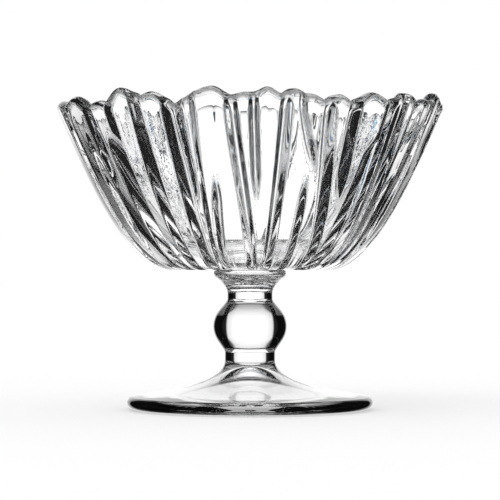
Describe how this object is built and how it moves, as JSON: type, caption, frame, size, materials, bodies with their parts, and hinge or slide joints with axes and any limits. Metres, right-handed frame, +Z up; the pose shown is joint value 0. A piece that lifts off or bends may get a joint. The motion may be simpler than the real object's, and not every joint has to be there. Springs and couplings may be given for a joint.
{
  "type": "footed ice cream bowl",
  "caption": "Clear pressed-glass dessert bowl with an irregular fluted wall and petalled rim, on a collar, a ball-knop stem and a spreading disc foot.",
  "frame": {"origin": "centre of the flat ring that the foot stands on", "axes": "+Z up along the stem's axis, -Y towards the viewer of the picture's side, +X to that viewer's right"},
  "size_m": [0.1252, 0.1252, 0.1015],
  "materials": {
    "bowl_glass": "clear pressed glass, fire polished, with faint chill wrinkles inside the ribs",
    "stem_glass": "clear pressed glass, fire polished and smooth"
  },
  "bodies": {
    "root": {"fluted_bowl": "bowl_glass", "collar": "stem_glass", "knop_stem": "stem_glass", "foot": "stem_glass"}
  },
  "joints": []
}
